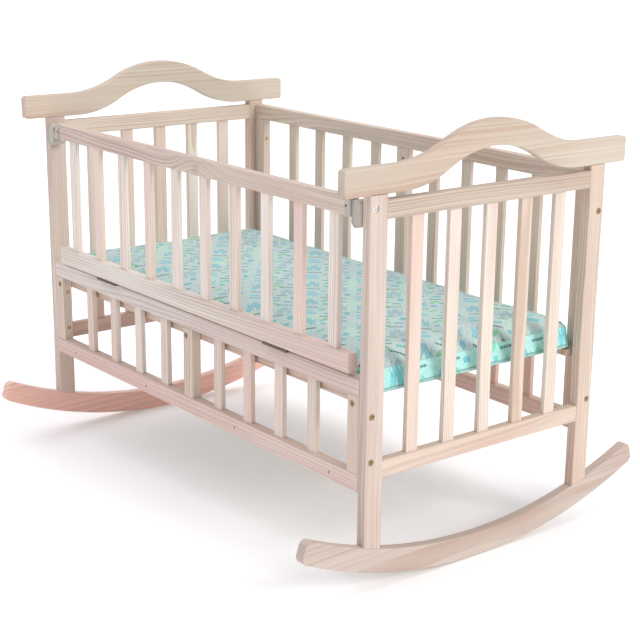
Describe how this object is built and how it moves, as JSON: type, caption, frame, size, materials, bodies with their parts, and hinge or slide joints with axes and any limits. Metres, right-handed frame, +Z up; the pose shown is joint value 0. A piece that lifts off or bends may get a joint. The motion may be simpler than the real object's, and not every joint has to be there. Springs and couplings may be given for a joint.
{
  "type": "baby cradle",
  "caption": "Slatted pine rocking cradle with curved rockers, scrolled end crests, a drop-down gate with latches, a bolted bed base and a printed mattress.",
  "frame": {"origin": "on the floor under the middle of the cradle, where the rockers touch the floor at rest", "axes": "+X along the length towards the foot end, +Y towards the fixed back side, +Z up; the gate is on the -Y side"},
  "size_m": [1.04, 0.7888, 0.7709],
  "materials": {
    "pine": "unfinished, planed smooth",
    "dowel_beech": "raw",
    "bolt": "yellow zinc, dull",
    "bright_steel": "bright plated",
    "dark_steel": "dark, satin",
    "latch_plastic": "matte moulded",
    "cover_cotton": "woven cotton, printed",
    "foam": "soft pad"
  },
  "bodies": {
    "frame": {"panel_bolts": "bolt", "panel_nuts": "bolt", "bed_bolts": "bolt", "bed_nuts": "bolt", "rocker_screws": "bolt", "end_rail_dowels": "dowel_beech", "crest_dowels": "dowel_beech", "stile_dowels": "dowel_beech", "bottom_rail_screws": "bolt", "frame_hinge_screws": "dark_steel", "head_frame_leaf": "dark_steel", "foot_frame_leaf": "dark_steel", "hinge_pins": "bright_steel", "keeper_bolts": "bright_steel", "head_latch_keeper": "latch_plastic", "foot_latch_keeper": "latch_plastic", "lower_slats": "pine", "lower_top_rail": "pine", "lower_bottom_rail": "pine", "lower_head_stile": "pine", "lower_middle_stile": "pine", "lower_foot_stile": "pine", "back_slats": "pine", "back_top_rail": "pine", "back_bottom_rail": "pine", "back_head_stile": "pine", "back_middle_stile": "pine", "back_foot_stile": "pine", "bed_slats": "pine", "bed_front_rail": "pine", "bed_rear_rail": "pine", "head_slats": "pine", "head_top_rail": "pine", "head_bottom_rail": "pine", "head_rocker": "pine", "head_crest_rail": "pine", "head_front_post": "pine", "head_rear_post": "pine", "foot_slats": "pine", "foot_top_rail": "pine", "foot_bottom_rail": "pine", "foot_rocker": "pine", "foot_crest_rail": "pine", "foot_front_post": "pine", "foot_rear_post": "pine"},
    "gate": {"gate_top_rail": "pine", "gate_bottom_rail": "pine", "gate_slats": "pine", "head_gate_leaf": "dark_steel", "foot_gate_leaf": "dark_steel", "gate_hinge_screws": "dark_steel", "head_latch_cap": "latch_plastic", "foot_latch_cap": "latch_plastic", "cap_screws": "dark_steel"},
    "head_slide": {"head_slide_bolt": "bright_steel"},
    "foot_slide": {"foot_slide_bolt": "bright_steel"},
    "mattress": {"mattress_core": "foam", "mattress_cover": "cover_cotton"}
  },
  "joints": [
    {"name": "gate_hinge", "type": "hinge", "parent": "frame", "child": "gate", "pos_m": [0, -0.2755, 0.37365], "axis": [1, 0, 0], "range_deg": [0, 175]},
    {"name": "head_bolt_slide", "type": "slide", "parent": "frame", "child": "head_slide", "axis": [1, 0, 0], "range_m": [0, 0.01]},
    {"name": "foot_bolt_slide", "type": "slide", "parent": "frame", "child": "foot_slide", "axis": [-1, 0, 0], "range_m": [0, 0.01]},
    {"name": "mattress_lift", "type": "slide", "parent": "frame", "child": "mattress", "axis": [0, 0, 1], "range_m": [0, 0.35]}
  ]
}
